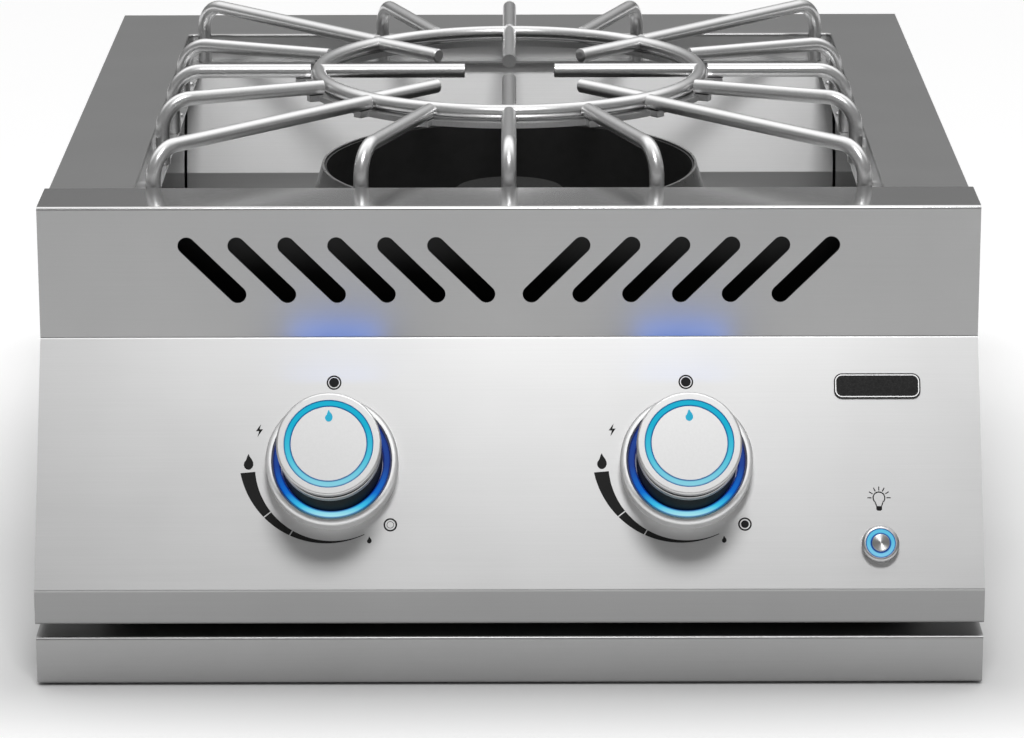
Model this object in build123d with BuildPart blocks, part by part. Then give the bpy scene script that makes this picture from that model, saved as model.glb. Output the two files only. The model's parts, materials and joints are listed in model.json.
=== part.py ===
"""Drop-in gas burner: stainless deck with a rod grate, a black burner bowl, a sloped panel and a drip tray.

Millimetres, +Z up, front towards -Y. The origin is on the floor, straight below the burner axis.
"""
import os
from math import atan2, cos, degrees, pi, radians, sin, sqrt, tan

from build123d import *

os.makedirs("parts", exist_ok=True)

# Sheet metal and fits
sheet = 1.2
bend = 1.6
seat_gap = 0.2
running_gap = 0.3
shaft_fit = 0.08

# Heights of the front, from the floor up
floor_gap = 1.0
band_height = 23.7
tray_gap = 7.0
lip_height = 17.3
panel_drop = 109.0
panel_tilt = 30.0
fascia_height = 65.0

# Widths, and depths measured from the burner axis
front_width = 457.0
deck_inset = 1.75
casing_inset = 23.5
fascia_to_axis = 231.5
deck_back = 246.7
casing_back = 220.0
bar_depth = 39.5
return_depth = 15.5

# Deck opening, its recess and its outer hem
deck_border = 43.75
opening_depth = 381.0
opening_corner = 3.0
ledge_drop = 14.5
ledge_width = 7.75
hem_height = 11.0
hem_return = 13.0
hem_setback = 0.5

# Slots in the fascia
slots_each_side = 6
slot_width = 8.6
slot_run = 34.4
slot_pitch = 24.2
slot_first = 23.1
slot_drop = 31.5
slot_angle = 45.0

# Burner box
box_depth = 88.5
box_floor_hole = 100.0
front_shield_setback = 4.0
shield_setback = 29.0
shield_lean = 20.6
shield_foot = 10.5
shield_slit = 1.7
post_width = 16.0
post_leaf = 18.0
tray_headroom = 26.0

# Bowl
bowl_rim_radius = 100.5
bowl_base_radius = 116.9
bowl_rim_drop = 32.2
bowl_flange = 8.0
liner_gap = 0.3
liner_below_rim = 1.0
air_hole_radius = 3.5
air_hole_circle_radius = 92.0
air_holes = 16

# Burners
ring_burner_radius = 70.0
ring_burner_width = 24.0
ring_burner_height = 20.0
burner_wall = 3.0
ring_ports = 36
port_radius = 1.3
head_radius = 30.0
head_drop = 47.0
neck_radius = 20.0
head_ports = 24

# Mixing tubes and air shutters
tube_radius = 9.0
tube_wall = 1.5
tube_into_burner = 7.0
tube_straight = 46.0
tube_bend = 22.0
shutter_length = 8.0
shutter_wall = 1.5
shutter_window = 2.5
shutter_tab = 7.0

# Knobs, measured square to the panel
knob_spacing = 171.0
knob_down = 64.2
bezel_radius = 32.0
bezel_height = 11.0
bezel_floor = 1.5
bezel_round = 2.0
bezel_chamfer = 0.9
light_outer = 28.15
light_height = 9.5
knob_radius = 24.2
knob_light_gap = 0.7
knob_base = 6.0
knob_wall = 2.8
knob_face_radius = 25.0
knob_face_height = 46.0
knob_face_thickness = 3.4
knob_ring_outer = 21.25
knob_ring_inner = 18.0
knob_ring_depth = 1.0
knob_hub = 8.0
push_travel = 4.0

# Gas valves, measured square to the panel
stem_radius = 4.0
stem_tail_radius = 3.2
stem_top = 30.0
bonnet_radius = 9.0
bonnet_top = 1.2
bonnet_hole_gap = 1.2
valve_width = 28.0
valve_height = 26.0
valve_depth = 50.0
valve_flange_width = 44.0
valve_flange = 2.0
washer_radius = 6.6
washer_thickness = 2.0
washer_seat = 4.0
spring_chamber = 7.0
spring_seat = 22.0
spring_radius = 5.0
spring_wire = 1.0
spring_turns = 5
feed_radius = 4.0
feed_out = 14.0
feed_run = 11.0
feed_bend = 8.0
orifice_radius = 5.5
orifice_length = 8.0
orifice_gap = 1.0

# Manifold, supply pipe and inlet
manifold_size = 16.0
manifold_wall = 2.0
manifold_left = 112.0
manifold_to_pipe = 38.0
manifold_back = 27.0
pipe_radius = 6.0
pipe_wall = 1.2
pipe_inset = 25.8
pipe_bend = 22.0
inlet_thread_radius = 7.94
inlet_thread_length = 14.0
inlet_bore = 4.5
inlet_body = 13.8
inlet_flange_radius = 12.0
inlet_flange = 4.0
inlet_hole_gap = 0.5

# Light button
button_inset = 50.0
button_down = 104.25
button_flange_radius = 9.0
button_flange = 5.0
button_flange_round = 1.5
button_barrel_radius = 7.9
button_barrel = 16.0
button_light_outer = 7.15
button_light_depth = 7.0
button_cap_radius = 4.3
button_cap_top = 6.2
button_cap_round = 0.45
button_travel = 2.0
button_hole_gap = 0.1
button_nut_width = 19.0
button_nut_height = 3.0
switch_length = 16.0
switch_radius = 6.8

# Blank plate beside the knobs
badge_inset = 49.7
badge_down = 25.4
badge_width = 42.0
badge_height = 12.5
badge_corner = 4.0
badge_thickness = 0.8

# Grate
rod_radius = 3.75
rod_height = 19.0
rod_bend = 15.0
leg_inset = 5.25
corner_leg_inset = 9.25
side_leg_offset = 73.0
ring_radius = 101.2
rod_end_gap = 0.8
support_inner = 97.5
support_outer = 108.5
support_thickness = 3.0
tab_length = 8.0
tab_width = 5.0
long_finger_end = 23.7
short_finger_end = 54.0
finger_edge = 0.6

# Drip tray
band_setback = 1.7
band_flange = 30.0
band_hem = 10.0
tray_side_gap = 9.8
tray_back = 190.0
tray_floor = 4.0
tray_rim_height = 19.0
tray_rim = 6.0
tray_corner = 4.0
runner_leaf = 7.3
runner_front_gap = 2.0
runner_back = 200.0

# Igniters, control box and power socket
ceramic_radius = 4.0
ceramic_below = 28.0
ceramic_above = 24.0
ceramic_collar = 7.0
ceramic_collar_height = 3.0
ceramic_place = 31.0
electrode_radius = 1.2
electrode_rise = 7.0
electrode_bend = 3.0
electrode_reach = 7.0
module_length = 100.0
module_height = 50.0
module_thickness = 30.0
module_front = 160.0
module_bottom = 60.0
module_round = 3.0
socket_inset = 53.8
socket_height = 66.0
socket_radius = 6.0
socket_flange_radius = 9.0
socket_flange = 2.0
socket_length = 5.0
socket_inside = 12.0
socket_bore = 2.8

# Screws and vents
screw_head_radius = 3.6
screw_head = 2.0
screw_head_round = 0.8
screw_shank = 2.0
screw_length = 5.0
screw_hole_gap = 0.15
ledge_screw_spacing = 80.0
ledge_screws_in_row = 4
ledge_screw_inset = 3.9
back_flange = 12.0
back_screw_heights = (20.0, 80.0, 120.0, 190.0)
vent_width = 8.0
vent_length = 60.0
vent_pitch = 30.0
vents = 8
vent_height = 30.0

# Levels worked out from the heights
band_bottom = floor_gap
band_top = band_bottom + band_height
lip_bottom = band_top + tray_gap
lip_top = lip_bottom + lip_height
panel_top = lip_top + panel_drop
bar_top = panel_top + fascia_height
deck_top = bar_top - sheet
ledge_top = deck_top - ledge_drop
case_top = ledge_top - sheet
flange_under = case_top - sheet
box_floor = bar_top - box_depth
bowl_floor = box_floor + sheet
rim_level = bar_top - bowl_rim_drop
rod_level = deck_top + rod_height

# Planes and half widths worked out from the widths and depths
front_half = front_width / 2
cheek_inner = front_half - sheet
deck_half = front_half - deck_inset
case_half = front_half - casing_inset
inner_half = case_half - sheet
opening_width = front_width - 2 * deck_border
button_x = front_half - button_inset
badge_x = front_half - badge_inset
pipe_x = inner_half - pipe_inset
socket_x = inner_half - socket_inset
manifold_right = pipe_x - manifold_to_pipe
tray_half_width = inner_half - tray_side_gap
fascia_front = -fascia_to_axis
flange_front = fascia_front + return_depth
flange_back = flange_front + sheet
panel_front = fascia_front - panel_drop * tan(radians(panel_tilt))
back_inner = casing_back - sheet
flange_inner = back_inner - sheet
ledge_half_x = opening_width / 2 - ledge_width
ledge_half_y = opening_depth / 2 - ledge_width
front_shield = -(opening_depth / 2 - front_shield_setback)
ledge_screw_x = ledge_half_x + ledge_screw_inset
back_screw_x = inner_half - back_flange / 2
screw_hole = screw_shank + screw_hole_gap

# Panel plane: local x to the right, local y up the slope, local z out of the panel
panel_normal = (0, -cos(radians(panel_tilt)), sin(radians(panel_tilt)))
panel_plane = Plane(origin=(0, fascia_front, panel_top), x_dir=(1, 0, 0), z_dir=panel_normal)
fascia_plane = Plane(origin=(0, fascia_front, 0), x_dir=(1, 0, 0), z_dir=(0, -1, 0))
back_plane = Plane(origin=(0, casing_back, 0), x_dir=(-1, 0, 0), z_dir=(0, 1, 0))

sides = {"left": -1, "right": 1}


def keep(builder, name):
    """Label a finished piece and write it."""
    builder.part.label = name
    export_step(builder.part, f"parts/{name}.step")


def span(x0, x1, y0, y1, mode=Mode.ADD):
    """Rectangle between two corners of the sketch plane."""
    with Locations(((x0 + x1) / 2, (y0 + y1) / 2)):
        Rectangle(abs(x1 - x0), abs(y1 - y0), mode=mode)


def on_panel(across, down, out=0.0):
    """Plane on the panel, so far across, down the slope and out from its face."""
    origin = panel_plane.from_local_coords((across, -down, out))
    return Plane(origin=origin, x_dir=panel_plane.x_dir, z_dir=panel_plane.z_dir)


def lathe(plane, outline, mode=Mode.ADD):
    """Turn an outline of (radius, height) points about the normal of a plane."""
    half_plane = Plane(origin=plane.origin, x_dir=plane.x_dir, z_dir=-plane.y_dir)
    with BuildSketch(half_plane) as profile:
        with BuildLine():
            Polyline(*outline, close=True)
        make_face()
    revolve(profile.sketch, axis=Axis(plane.origin, plane.z_dir), mode=mode)


def top_rim(builder, plane, radius):
    """Circular edge of a given radius that lies furthest along the normal of a plane."""
    circles = builder.edges().filter_by(GeomType.CIRCLE)
    same = circles.filter_by(lambda edge: abs(edge.radius - radius) < 0.001)
    return same.sort_by(Axis(plane.origin, plane.z_dir))[-1]


def folded(points, side):
    """Folded sheet section through the given outer corners."""
    with BuildLine() as path:
        FilletPolyline(*points, radius=bend)
        offset(amount=sheet, side=side, kind=Kind.INTERSECTION)
    make_face(path.edges())


def filled(points):
    """Filled outline with the same rounded corners as the folded section."""
    with BuildLine() as path:
        edge = FilletPolyline(*points, radius=bend)
        Line(edge @ 1, edge @ 0)
    make_face(path.edges())


def tube(points, radii, outer, inner):
    """Hollow bent tube along straight runs joined by arcs."""
    with BuildLine() as route:
        FilletPolyline(*points, radius=radii)
    start = Plane(origin=route.line @ 0, z_dir=route.line % 0)
    with BuildSketch(start) as ring:
        Circle(outer)
        Circle(inner, mode=Mode.SUBTRACT)
    sweep(ring.sketch, path=route.line)


def screw(plane):
    """Round-head screw that sits on a plane, with its shank below."""
    outline = [
        (0, -screw_length),
        (screw_shank, -screw_length),
        (screw_shank, 0),
        (screw_head_radius, 0),
        (screw_head_radius, screw_head - screw_head_round),
        (screw_head_radius - screw_head_round, screw_head),
        (0, screw_head),
    ]
    lathe(plane, outline)


# Casing: base pan, side panels and back panel
with BuildPart() as base_pan:
    with BuildSketch(Plane.XY):
        span(-inner_half, inner_half, flange_back, flange_inner)
        with GridLocations(vent_pitch * 3, vent_pitch * 3, 4, 3):
            SlotOverall(vent_length, vent_width, mode=Mode.SUBTRACT)
    extrude(amount=sheet)
keep(base_pan, "base_pan")

ledge_screw_rows = GridLocations(2 * ledge_screw_x, ledge_screw_spacing, 2, ledge_screws_in_row)

for name, side in sides.items():
    with BuildPart() as side_panel:
        with BuildSketch(Plane.XY):
            span(side * inner_half, side * case_half, flange_front, casing_back)
        extrude(amount=case_top)
        with BuildSketch(Plane.XY.offset(lip_bottom)):
            span(side * inner_half, side * cheek_inner, flange_front, flange_back)
        extrude(amount=case_top - lip_bottom)
        with BuildSketch(Plane.XY.offset(case_top)):
            span(side * (ledge_half_x + sheet), side * case_half, flange_back, flange_inner)
            with ledge_screw_rows:
                Circle(screw_hole, mode=Mode.SUBTRACT)
        extrude(amount=-sheet)
        with BuildSketch(Plane.XY.offset(2 * sheet)):
            span(side * (inner_half - back_flange), side * inner_half, flange_inner, back_inner)
        extrude(amount=flange_under - 4 * sheet)
        with BuildSketch(back_plane):
            with Locations(*[(-side * back_screw_x, height) for height in back_screw_heights]):
                Circle(screw_hole)
        extrude(amount=-4 * sheet, mode=Mode.SUBTRACT)
    keep(side_panel, f"{name}_side_panel")

# The supply pipe runs level with the manifold, which lies behind and below the valves
manifold_down = knob_down + valve_height / 2 + manifold_size / 2
manifold_depth = manifold_back + manifold_size / 2
manifold_axis = panel_plane.from_local_coords((0, -manifold_down, -manifold_depth))
pipe_level = manifold_axis.Z

with BuildPart() as back_panel:
    with BuildSketch(back_plane):
        span(-inner_half, inner_half, 0, case_top)
        with Locations(*[(x, h) for x in (-back_screw_x, back_screw_x) for h in back_screw_heights]):
            Circle(screw_hole, mode=Mode.SUBTRACT)
        with Locations((-pipe_x, pipe_level)):
            Circle(inlet_thread_radius + inlet_hole_gap, mode=Mode.SUBTRACT)
        with Locations((socket_x, socket_height)):
            Circle(socket_radius + shaft_fit, mode=Mode.SUBTRACT)
        with Locations((0, vent_height + vent_length / 2)):
            with GridLocations(vent_pitch, 0, vents, 1):
                SlotOverall(vent_length, vent_width, rotation=90, mode=Mode.SUBTRACT)
    extrude(amount=-sheet)
    with BuildSketch(Plane.XY.offset(case_top)):
        span(-ledge_half_x, ledge_half_x, ledge_half_y + sheet, back_inner)
    extrude(amount=-sheet)
keep(back_panel, "back_panel")

# Deck: plate with a recessed opening, a ledge for the grate and a folded hem
recess_outer = (opening_width + 2 * sheet, opening_depth + 2 * sheet, opening_corner + sheet)

with BuildPart() as top_deck:
    with BuildSketch(Plane.XY.offset(deck_top)):
        span(-deck_half, deck_half, fascia_front + sheet + hem_setback, deck_back)
        RectangleRounded(opening_width, opening_depth, opening_corner, mode=Mode.SUBTRACT)
    extrude(amount=-sheet)
    with BuildSketch(Plane.XY.offset(deck_top)):
        RectangleRounded(*recess_outer)
        RectangleRounded(opening_width, opening_depth, opening_corner, mode=Mode.SUBTRACT)
    extrude(amount=-ledge_drop)
    with BuildSketch(Plane.XY.offset(ledge_top)):
        RectangleRounded(*recess_outer)
        Rectangle(2 * ledge_half_x, 2 * ledge_half_y, mode=Mode.SUBTRACT)
        with ledge_screw_rows:
            Circle(screw_hole, mode=Mode.SUBTRACT)
    extrude(amount=-sheet)
    hem_front = flange_back + hem_setback
    with BuildSketch(Plane.XY.offset(deck_top - hem_height)):
        span(-deck_half, deck_half, hem_front, deck_back)
        hem_inner = deck_half - sheet
        span(-hem_inner, hem_inner, hem_front, deck_back - sheet, mode=Mode.SUBTRACT)
    extrude(amount=hem_height)
    with BuildSketch(Plane.XY.offset(deck_top - hem_height)):
        span(-deck_half, deck_half, hem_front, deck_back)
        return_inner = deck_half - hem_return
        span(-return_inner, return_inner, hem_front, deck_back - hem_return, mode=Mode.SUBTRACT)
    extrude(amount=sheet)
    opening_edges = top_deck.edges().filter_by_position(Axis.Z, deck_top, deck_top)
    opening_edges = opening_edges.filter_by(lambda e: abs((e @ 0.5).X) < opening_width / 2 + sheet)
    opening_edges = opening_edges.filter_by(lambda e: abs((e @ 0.5).Y) < opening_depth / 2 + sheet)
    fillet(opening_edges, sheet * 0.9)
keep(top_deck, "top_deck")

# Fascia: bottom return pressed square, slotted face, top bar and cheeks
with BuildPart() as front_fascia:
    with BuildSketch(Plane.YZ.offset(-front_half)):
        folded(
            [
                (flange_front, panel_top),
                (fascia_front, panel_top),
                (fascia_front, bar_top),
                (fascia_front + bar_depth, bar_top),
            ],
            Side.RIGHT,
        )
        span(fascia_front, fascia_front + bend, panel_top, panel_top + bend)
    extrude(amount=front_width)
    for cheek in (-front_half, cheek_inner):
        with BuildSketch(Plane.YZ.offset(cheek)):
            filled(
                [
                    (flange_back, panel_top),
                    (fascia_front, panel_top),
                    (fascia_front, bar_top),
                    (flange_back, bar_top),
                ]
            )
            span(fascia_front, fascia_front + bend, panel_top, panel_top + bend)
        extrude(amount=sheet)
    for side in sides.values():
        with BuildSketch(fascia_plane):
            first = side * slot_first
            row = [(first + side * slot_pitch * k, bar_top - slot_drop) for k in range(slots_each_side)]
            with Locations(*row):
                SlotCenterToCenter(slot_run, slot_width, rotation=side * slot_angle)
        extrude(amount=-2 * sheet, mode=Mode.SUBTRACT)
keep(front_fascia, "front_fascia")

# Control panel: top return, sloped face, lip, bottom return and cheeks
with BuildPart() as control_panel:
    with BuildSketch(Plane.YZ.offset(-front_half)):
        folded(
            [
                (flange_front, panel_top),
                (fascia_front, panel_top),
                (panel_front, lip_top),
                (panel_front, lip_bottom),
                (flange_front, lip_bottom),
            ],
            Side.LEFT,
        )
    extrude(amount=front_width)
    for cheek in (-front_half, cheek_inner):
        with BuildSketch(Plane.YZ.offset(cheek)):
            filled(
                [
                    (flange_back, panel_top),
                    (fascia_front, panel_top),
                    (panel_front, lip_top),
                    (panel_front, lip_bottom),
                    (flange_back, lip_bottom),
                ]
            )
        extrude(amount=sheet)
    with BuildSketch(panel_plane):
        with Locations((-knob_spacing / 2, -knob_down), (knob_spacing / 2, -knob_down)):
            Circle(bonnet_radius + bonnet_hole_gap)
        with Locations((button_x, -button_down)):
            Circle(button_barrel_radius + button_hole_gap)
    extrude(amount=-2 * sheet, mode=Mode.SUBTRACT)
keep(control_panel, "control_panel")

with BuildPart() as blank_badge:
    with BuildSketch(on_panel(badge_x, badge_down)):
        RectangleRounded(badge_width, badge_height, badge_corner)
    extrude(amount=badge_thickness)
keep(blank_badge, "blank_badge")

# Burner box: front and back shields, rear posts and floor
feed_level = on_panel(0, knob_down, -valve_depth - feed_out).origin
mouth = feed_level.Y + feed_run + orifice_gap
tube_level = feed_level.Z
tube_x = knob_spacing / 2

with BuildPart() as front_heat_shield:
    with BuildSketch(Plane(origin=(0, front_shield, 0), x_dir=(1, 0, 0), z_dir=(0, -1, 0))):
        span(-inner_half, inner_half, tray_headroom, flange_under)
        with Locations((-tube_x, tube_level), (tube_x, tube_level)):
            Circle(tube_radius + running_gap, mode=Mode.SUBTRACT)
        with Locations((pipe_x, pipe_level)):
            Circle(pipe_radius + running_gap, mode=Mode.SUBTRACT)
    extrude(amount=-sheet)
keep(front_heat_shield, "front_heat_shield")

with BuildPart() as burner_box_floor:
    with BuildSketch(Plane.XY.offset(box_floor)):
        span(-inner_half, inner_half, front_shield + sheet, flange_inner)
        Circle(box_floor_hole, mode=Mode.SUBTRACT)
    extrude(amount=-sheet)
keep(burner_box_floor, "burner_box_floor")

# The back wall leans back above an upright foot; the posts carry on its section past a slit
lean = radians(shield_lean)
foot_top = box_floor + shield_foot
wall_top = casing_back - shield_setback
wall_foot = wall_top - (flange_under - foot_top) * tan(lean)
wall_section = [
    (wall_top, flange_under),
    (wall_foot, foot_top),
    (wall_foot, box_floor),
    (wall_foot + sheet, box_floor),
    (wall_foot + sheet, foot_top - sheet * tan(lean / 2)),
    (wall_top + sheet / cos(lean), flange_under),
]
leaf_section = [
    (wall_top - post_leaf, flange_under),
    (wall_top, flange_under),
    (wall_foot, foot_top),
    (wall_foot, box_floor),
    (wall_foot - post_leaf, box_floor),
    (wall_foot - post_leaf, foot_top),
]
post_inner = inner_half - post_width
shield_half = post_inner - shield_slit

with BuildPart() as back_heat_shield:
    with BuildSketch(Plane.YZ.offset(-shield_half)):
        with BuildLine():
            Polyline(*wall_section, close=True)
        make_face()
    extrude(amount=2 * shield_half)
    with BuildSketch(Plane.XY.offset(box_floor)):
        span(-shield_half, shield_half, wall_foot, flange_inner)
    extrude(amount=sheet)
keep(back_heat_shield, "back_heat_shield")

with BuildPart() as rear_posts:
    for side in sides.values():
        for section, start in ((wall_section, post_inner), (leaf_section, inner_half - sheet)):
            with BuildSketch(Plane.YZ.offset(side * inner_half)):
                with BuildLine():
                    Polyline(*section, close=True)
                make_face()
            extrude(amount=side * (start - inner_half))
keep(rear_posts, "rear_posts")

# Bowl: flared shroud and black liner, with air holes in the liner floor
rim_rise = rim_level - box_floor
flare = (bowl_base_radius - bowl_rim_radius) / rim_rise
wall_across = sheet * sqrt(1 + flare * flare)
liner_rise = rim_rise - liner_below_rim
liner_shift = wall_across + liner_gap

with BuildPart() as burner_cone:
    lathe(
        Plane.XY.offset(box_floor),
        [
            (bowl_base_radius + bowl_flange, 0),
            (bowl_base_radius + bowl_flange, sheet),
            (bowl_base_radius - flare * sheet, sheet),
            (bowl_rim_radius, rim_rise),
            (bowl_rim_radius - wall_across, rim_rise),
            (bowl_base_radius - wall_across, 0),
        ],
    )
keep(burner_cone, "burner_cone")

igniter_places = [(ceramic_place, ceramic_place), (-ceramic_place, ceramic_place)]
ring_inner = ring_burner_radius - ring_burner_width / 2
ring_outer = ring_burner_radius + ring_burner_width / 2

with BuildPart() as bowl_liner:
    liner_base = bowl_base_radius - liner_shift
    liner_top = bowl_base_radius - flare * liner_rise - liner_shift
    lathe(
        Plane.XY.offset(box_floor),
        [
            (0, 0),
            (liner_base, 0),
            (liner_top, liner_rise),
            (liner_top - wall_across, liner_rise),
            (liner_base - wall_across - flare * sheet, sheet),
            (0, sheet),
        ],
    )
    with BuildSketch(Plane.XY.offset(box_floor)):
        with PolarLocations(air_hole_circle_radius, air_holes):
            Circle(air_hole_radius)
        with PolarLocations((ring_inner + neck_radius) / 2, air_holes // 4):
            Circle(air_hole_radius)
        with Locations(*igniter_places):
            Circle(ceramic_radius + running_gap)
        with Locations((0, 0), (-ring_burner_radius, 0)):
            Circle(tube_radius + running_gap)
    extrude(amount=sheet, mode=Mode.SUBTRACT)
keep(bowl_liner, "bowl_liner")

# Burners: hollow ring with ports on top, and hollow head with ports round its side
with BuildPart() as outer_ring_burner:
    lathe(
        Plane.XY.offset(bowl_floor),
        [
            (ring_inner, 0),
            (ring_outer, 0),
            (ring_outer, ring_burner_height - burner_wall),
            (ring_outer - burner_wall, ring_burner_height),
            (ring_inner + burner_wall, ring_burner_height),
            (ring_inner, ring_burner_height - burner_wall),
        ],
    )
    lathe(
        Plane.XY.offset(bowl_floor),
        [
            (ring_inner + burner_wall, burner_wall),
            (ring_outer - burner_wall, burner_wall),
            (ring_outer - burner_wall, ring_burner_height - burner_wall),
            (ring_inner + burner_wall, ring_burner_height - burner_wall),
        ],
        mode=Mode.SUBTRACT,
    )
    with BuildSketch(Plane.XY.offset(bowl_floor + ring_burner_height)):
        with PolarLocations(ring_burner_radius, ring_ports):
            Circle(port_radius)
    extrude(amount=-burner_wall, mode=Mode.SUBTRACT)
    with BuildSketch(Plane.XY.offset(bowl_floor)):
        with Locations((-ring_burner_radius, 0)):
            Circle(tube_radius + running_gap)
    extrude(amount=burner_wall, mode=Mode.SUBTRACT)
keep(outer_ring_burner, "outer_ring_burner")

head_rise = bar_top - head_drop - bowl_floor
cap_under = head_rise - 3 * burner_wall
flare_under = cap_under - (head_radius - neck_radius) / 2

with BuildPart() as inner_burner:
    socket_radius_in = tube_radius + running_gap
    lathe(
        Plane.XY.offset(bowl_floor),
        [
            (socket_radius_in, 0),
            (neck_radius, 0),
            (neck_radius, flare_under),
            (head_radius, cap_under),
            (head_radius, head_rise - burner_wall / 2),
            (head_radius - burner_wall / 2, head_rise),
            (0, head_rise),
            (0, head_rise - burner_wall),
            (head_radius - burner_wall, head_rise - burner_wall),
            (head_radius - burner_wall, cap_under + burner_wall),
            (neck_radius - burner_wall, flare_under + burner_wall),
            (neck_radius - burner_wall, tube_into_burner + burner_wall),
            (socket_radius_in, tube_into_burner + burner_wall),
        ],
    )
    port_level = bowl_floor + head_rise - 1.5 * burner_wall
    for k in range(head_ports):
        with Locations(Location((0, 0, port_level), (0, 0, 360 * k / head_ports))):
            with Locations((head_radius - 1.5 * burner_wall, 0, 0)):
                Cylinder(
                    port_radius,
                    2 * burner_wall,
                    rotation=(0, 90, 0),
                    align=(Align.CENTER, Align.CENTER, Align.MIN),
                    mode=Mode.SUBTRACT,
                )
keep(inner_burner, "inner_burner")

# Mixing tubes from the air shutters to the burners
tube_end = bowl_floor + tube_into_burner
straight_end = mouth + tube_straight
tube_routes = {
    "outer": (
        -1,
        [
            (-tube_x, mouth, tube_level),
            (-tube_x, straight_end, tube_level),
            (-ring_burner_radius, -2 * tube_bend, tube_level),
            (-ring_burner_radius, 0, tube_level),
            (-ring_burner_radius, 0, tube_end),
        ],
    ),
    "inner": (
        1,
        [
            (tube_x, mouth, tube_level),
            (tube_x, straight_end, tube_level),
            (0, -2.5 * tube_bend, tube_level),
            (0, 0, tube_level),
            (0, 0, tube_end),
        ],
    ),
}

for name, (side, route_points) in tube_routes.items():
    window_plane = Plane(
        origin=(side * tube_x, mouth + shutter_length / 2, tube_level), x_dir=(0, 1, 0), z_dir=(1, 0, 0)
    )
    with BuildPart() as venturi:
        tube(route_points, (tube_bend, tube_bend, tube_bend), tube_radius, tube_radius - tube_wall)
        with BuildSketch(window_plane):
            Circle(shutter_window)
        extrude(amount=2 * tube_radius, both=True, mode=Mode.SUBTRACT)
    keep(venturi, f"{name}_venturi")

    mouth_plane = Plane(origin=(side * tube_x, mouth, tube_level), x_dir=(1, 0, 0), z_dir=(0, 1, 0))
    sleeve = tube_radius + shaft_fit + shutter_wall
    with BuildPart() as air_shutter:
        with BuildSketch(mouth_plane):
            Circle(sleeve)
            span(-shutter_wall, shutter_wall, -sleeve - shutter_tab, -tube_radius - shutter_wall)
            Circle(tube_radius + shaft_fit, mode=Mode.SUBTRACT)
        extrude(amount=shutter_length)
        with BuildSketch(window_plane):
            Circle(shutter_window)
        extrude(amount=2 * sleeve, both=True, mode=Mode.SUBTRACT)
    keep(air_shutter, f"{name}_air_shutter")

    # Feed tube from the valve, with the orifice end facing the mixing tube
    with BuildPart() as gas_feed:
        valve_end = on_panel(side * tube_x, knob_down, -valve_depth).origin
        corner = on_panel(side * tube_x, knob_down, -valve_depth - feed_out).origin
        feed_end = (corner.X, corner.Y + feed_run, corner.Z)
        tube([valve_end, corner, feed_end], feed_bend, feed_radius, feed_radius / 2)
        with BuildSketch(Plane(origin=feed_end, x_dir=(1, 0, 0), z_dir=(0, -1, 0))):
            Circle(orifice_radius)
            Circle(feed_radius / 2, mode=Mode.SUBTRACT)
        extrude(amount=orifice_length)
    keep(gas_feed, f"{name}_gas_feed")

# Manifold, supply pipe and inlet fitting
with BuildPart() as gas_manifold:
    with BuildSketch(Plane(origin=manifold_axis, x_dir=panel_plane.y_dir, z_dir=(1, 0, 0))):
        Rectangle(manifold_size, manifold_size)
    extrude(amount=manifold_right)
    extrude(gas_manifold.faces().sort_by(Axis.X)[0], amount=manifold_left)
    with BuildSketch(Plane(origin=manifold_axis, x_dir=panel_plane.y_dir, z_dir=(1, 0, 0))):
        Rectangle(manifold_size - 2 * manifold_wall, manifold_size - 2 * manifold_wall)
    extrude(amount=manifold_right, mode=Mode.SUBTRACT)
    with BuildSketch(Plane(origin=manifold_axis, x_dir=panel_plane.y_dir, z_dir=(-1, 0, 0))):
        Rectangle(manifold_size - 2 * manifold_wall, manifold_size - 2 * manifold_wall)
    extrude(amount=manifold_left - manifold_wall, mode=Mode.SUBTRACT)
keep(gas_manifold, "gas_manifold")

pipe_end = back_inner - inlet_body

with BuildPart() as gas_supply_pipe:
    tube(
        [
            (manifold_right, manifold_axis.Y, pipe_level),
            (pipe_x, manifold_axis.Y, pipe_level),
            (pipe_x, pipe_end, pipe_level),
        ],
        pipe_bend,
        pipe_radius,
        pipe_radius - pipe_wall,
    )
    with BuildSketch(Plane(origin=(manifold_right, manifold_axis.Y, pipe_level), z_dir=(1, 0, 0))):
        Circle(manifold_size / 2)
        Circle(pipe_radius - pipe_wall, mode=Mode.SUBTRACT)
    extrude(amount=manifold_wall)
keep(gas_supply_pipe, "gas_supply_pipe")

inlet_plane = Plane(origin=(pipe_x, casing_back, pipe_level), x_dir=(-1, 0, 0), z_dir=(0, 1, 0))

with BuildPart() as gas_inlet_fitting:
    inner_face = -sheet - inlet_body
    outer_face = inlet_flange + inlet_thread_length
    lathe(
        inlet_plane,
        [
            (inlet_bore, inner_face),
            (inlet_flange_radius, inner_face),
            (inlet_flange_radius, -sheet),
            (inlet_thread_radius, -sheet),
            (inlet_thread_radius, 0),
            (inlet_flange_radius, 0),
            (inlet_flange_radius, inlet_flange),
            (inlet_thread_radius, inlet_flange),
            (inlet_thread_radius, outer_face),
            (inlet_bore, outer_face),
        ],
    )
keep(gas_inlet_fitting, "gas_inlet_fitting")

# Knobs, bezels, lights and valves, one set on each side
spring_pitch = (spring_seat - washer_seat - washer_thickness - 3 * seat_gap - spring_wire) / spring_turns
light_inner = knob_radius + knob_light_gap
stem_shoulder = -washer_seat - seat_gap
washer_back = stem_shoulder - washer_thickness
stem_tail = -valve_depth / 2 - running_gap
face_under = knob_face_height - knob_face_thickness

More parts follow.
